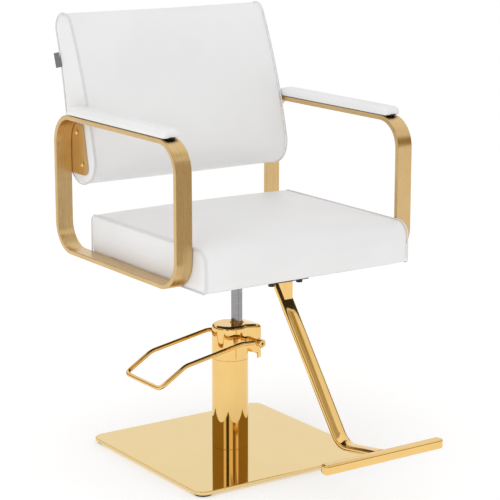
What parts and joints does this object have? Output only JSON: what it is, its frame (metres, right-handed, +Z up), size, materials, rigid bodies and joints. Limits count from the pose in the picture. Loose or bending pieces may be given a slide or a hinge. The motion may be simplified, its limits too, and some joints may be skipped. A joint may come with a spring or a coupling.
{
  "type": "styling chair",
  "caption": "Hydraulic salon chair: cushioned seat and back between metal arm loops, pump column with foot pedal, square base and T-shaped footrest.",
  "frame": {"origin": "on the floor under the middle of the square base plate", "axes": "+Z up; -Y is the way the sitter faces; +X is the sitter's left"},
  "size_m": [0.594, 0.8589, 0.9537],
  "materials": {
    "polished_gold": "polished gold-tone plating",
    "brushed_gold": "brushed gold-tone plating",
    "chrome": "polished",
    "dark_steel": "satin black",
    "bright_steel": "satin",
    "rubber": "matte",
    "black_plastic": "satin",
    "white_vinyl": "satin vinyl-coated cloth over foam",
    "grey_fabric": "matte",
    "plywood": "matte"
  },
  "bodies": {
    "base": {"base_plate": "polished_gold", "foot_pad_1": "rubber", "foot_pad_2": "rubber", "foot_pad_3": "rubber", "foot_pad_4": "rubber", "pump_foot": "bright_steel", "pump_bolt_1": "dark_steel", "pump_bolt_2": "dark_steel", "pump_bolt_3": "dark_steel", "pump_bolt_4": "dark_steel", "pump_tube": "polished_gold", "pump_cap": "polished_gold", "inner_cylinder": "bright_steel", "rod_gland": "polished_gold", "plunger_barrel": "bright_steel", "plunger_spring": "bright_steel"},
    "lift": {"piston_rod": "chrome", "piston_head": "bright_steel", "piston_seal": "rubber"},
    "seat": {"seat_cushion": "white_vinyl", "seat_board": "plywood", "seat_rail_front": "dark_steel", "seat_rail_back": "dark_steel", "seat_mount_plate": "dark_steel", "swivel_hub": "dark_steel", "mount_bolt_1": "dark_steel", "mount_bolt_2": "dark_steel", "mount_bolt_3": "dark_steel", "mount_bolt_4": "dark_steel", "arm_loop_left": "brushed_gold", "arm_strip_left": "black_plastic", "arm_pad_left": "white_vinyl", "back_bracket_left": "brushed_gold", "back_bolt_left_1": "polished_gold", "back_bolt_left_2": "polished_gold", "footrest_bolt_left": "dark_steel", "arm_loop_right": "brushed_gold", "arm_strip_right": "black_plastic", "arm_pad_right": "white_vinyl", "back_bracket_right": "brushed_gold", "back_bolt_right_1": "polished_gold", "back_bolt_right_2": "polished_gold", "footrest_bolt_right": "dark_steel", "backrest_cushion": "white_vinyl", "backrest_board": "plywood", "back_tag": "grey_fabric", "footrest_post": "polished_gold", "footrest_gusset": "polished_gold", "footrest_bar": "polished_gold", "footrest_channel": "dark_steel"},
    "pedal": {"pedal_shaft_front": "polished_gold", "pedal_shaft_rear": "polished_gold", "pedal_boss_front": "polished_gold", "pedal_boss_rear": "polished_gold", "pedal_lever": "polished_gold", "pump_yoke": "bright_steel"},
    "plunger": {"pump_plunger": "bright_steel"}
  },
  "joints": [
    {"name": "seat_lift", "type": "slide", "parent": "base", "child": "lift", "axis": [0, 0, 1], "range_m": [-0.05, 0.07]},
    {"name": "seat_swivel", "type": "hinge", "parent": "lift", "child": "seat", "pos_m": [0.018, 0, 0.43], "axis": [0, 0, 1], "continuous": true},
    {"name": "foot_pedal", "type": "hinge", "parent": "base", "child": "pedal", "pos_m": [0.033, 0, 0.2563], "axis": [0, -1, 0], "range_deg": [0, 22], "stiffness_Nm_per_rad": 3, "springref_deg": -34.38},
    {"name": "plunger_stroke", "type": "slide", "parent": "base", "child": "plunger", "axis": [0, 0, -1], "range_m": [0, 0.03], "deforming": ["plunger_spring"]}
  ],
  "couplings": [
    {"joint": "plunger_stroke", "follows": "foot_pedal", "m_per_rad": 0.063}
  ]
}
